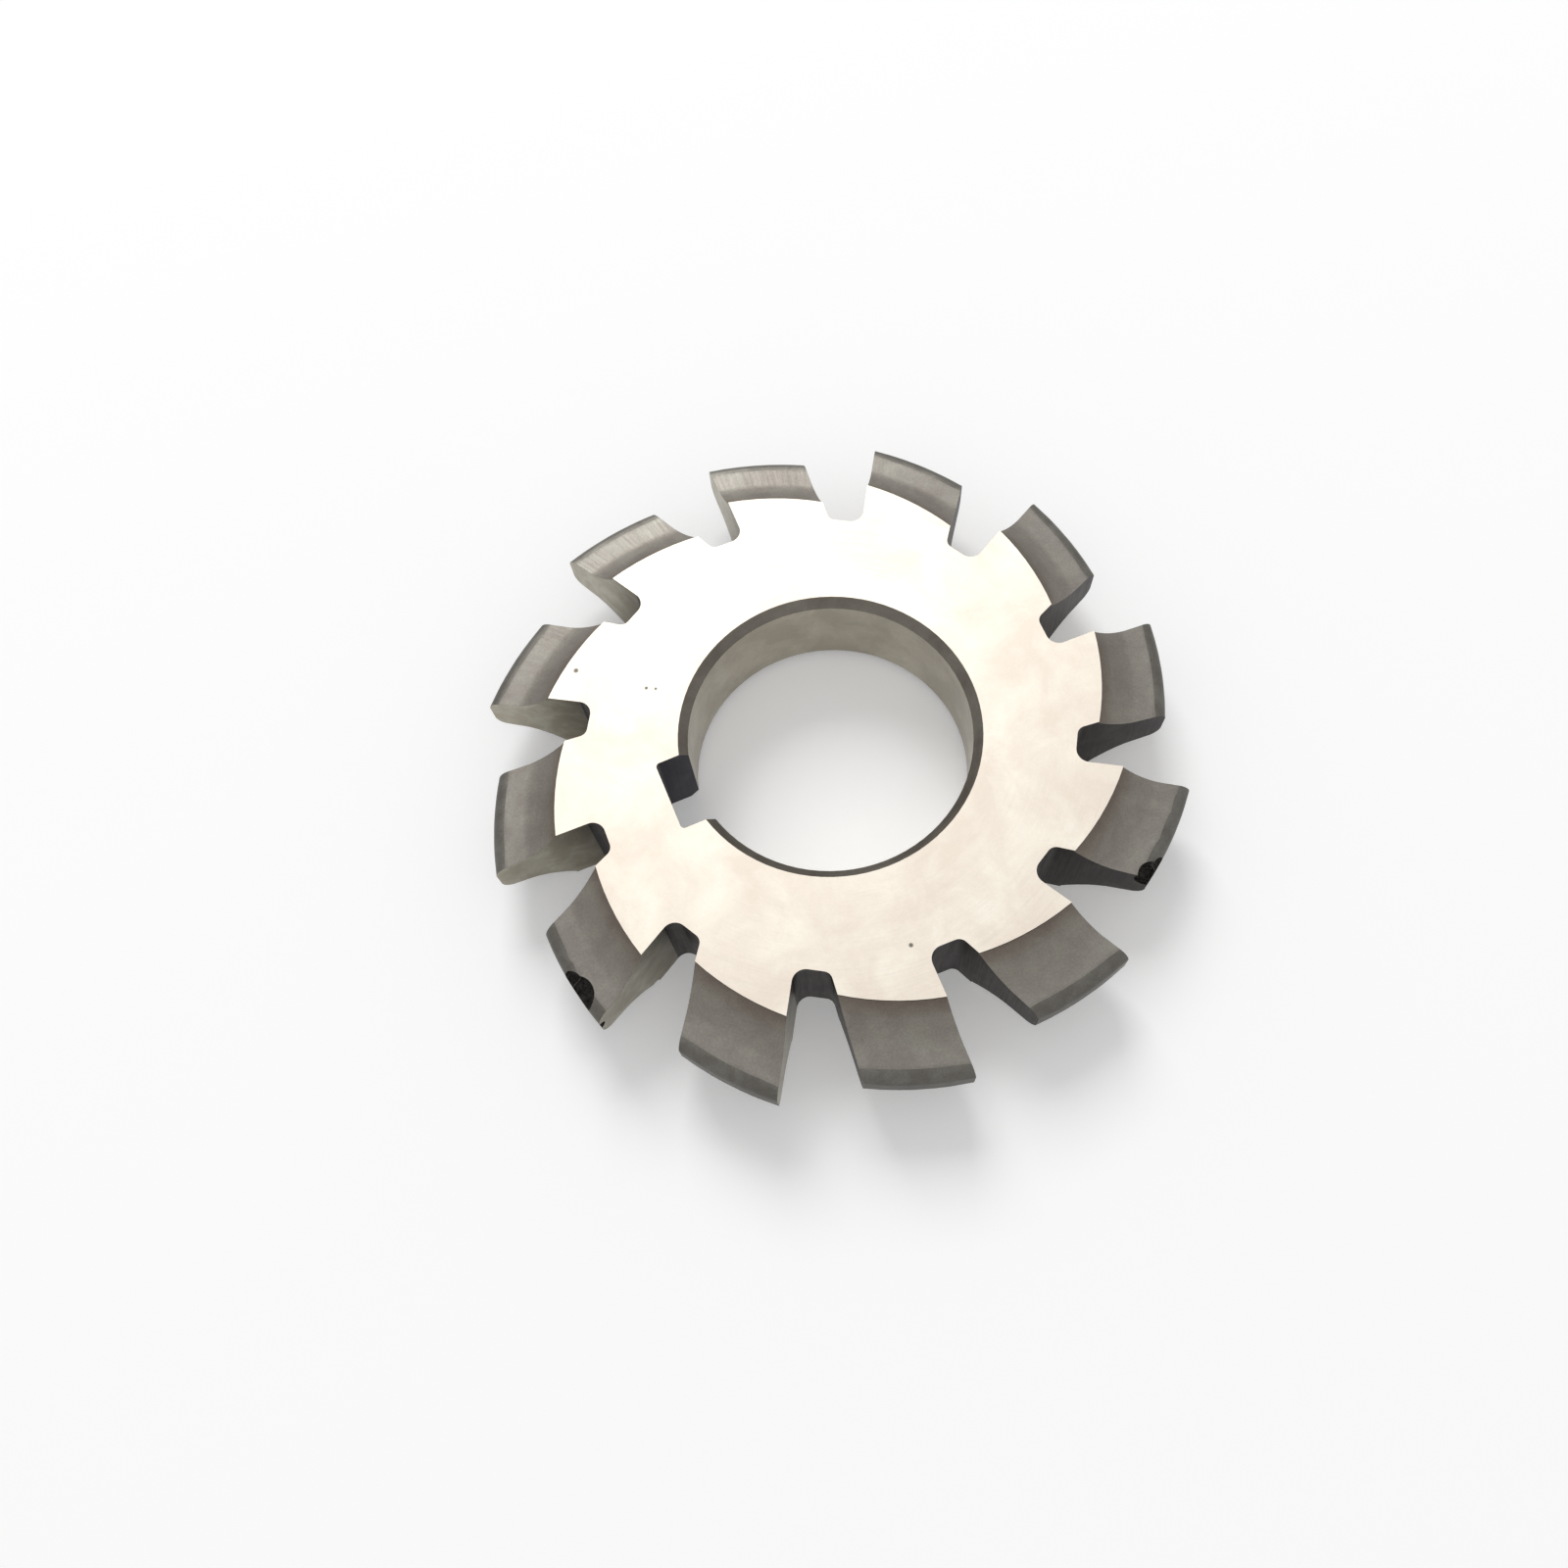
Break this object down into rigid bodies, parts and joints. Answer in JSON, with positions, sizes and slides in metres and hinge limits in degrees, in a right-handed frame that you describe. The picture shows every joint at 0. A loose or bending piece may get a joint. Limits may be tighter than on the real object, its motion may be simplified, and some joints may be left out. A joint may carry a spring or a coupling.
{
  "type": "involute gear milling cutter",
  "caption": "Form-relieved disc milling cutter with involute teeth, a ground body, a plain bore and a keyway, for cutting spur gear teeth.",
  "frame": {"origin": "on the bore's axis, in the plane of the lower side face that the cutter lies on", "axes": "+Z along the bore's axis, up from the lower side face; the keyway points to -X"},
  "size_m": [0.0682, 0.0682, 0.0107],
  "materials": {
    "tool_steel": "ground"
  },
  "bodies": {
    "root": {"gear_cutter": "tool_steel"}
  },
  "joints": []
}
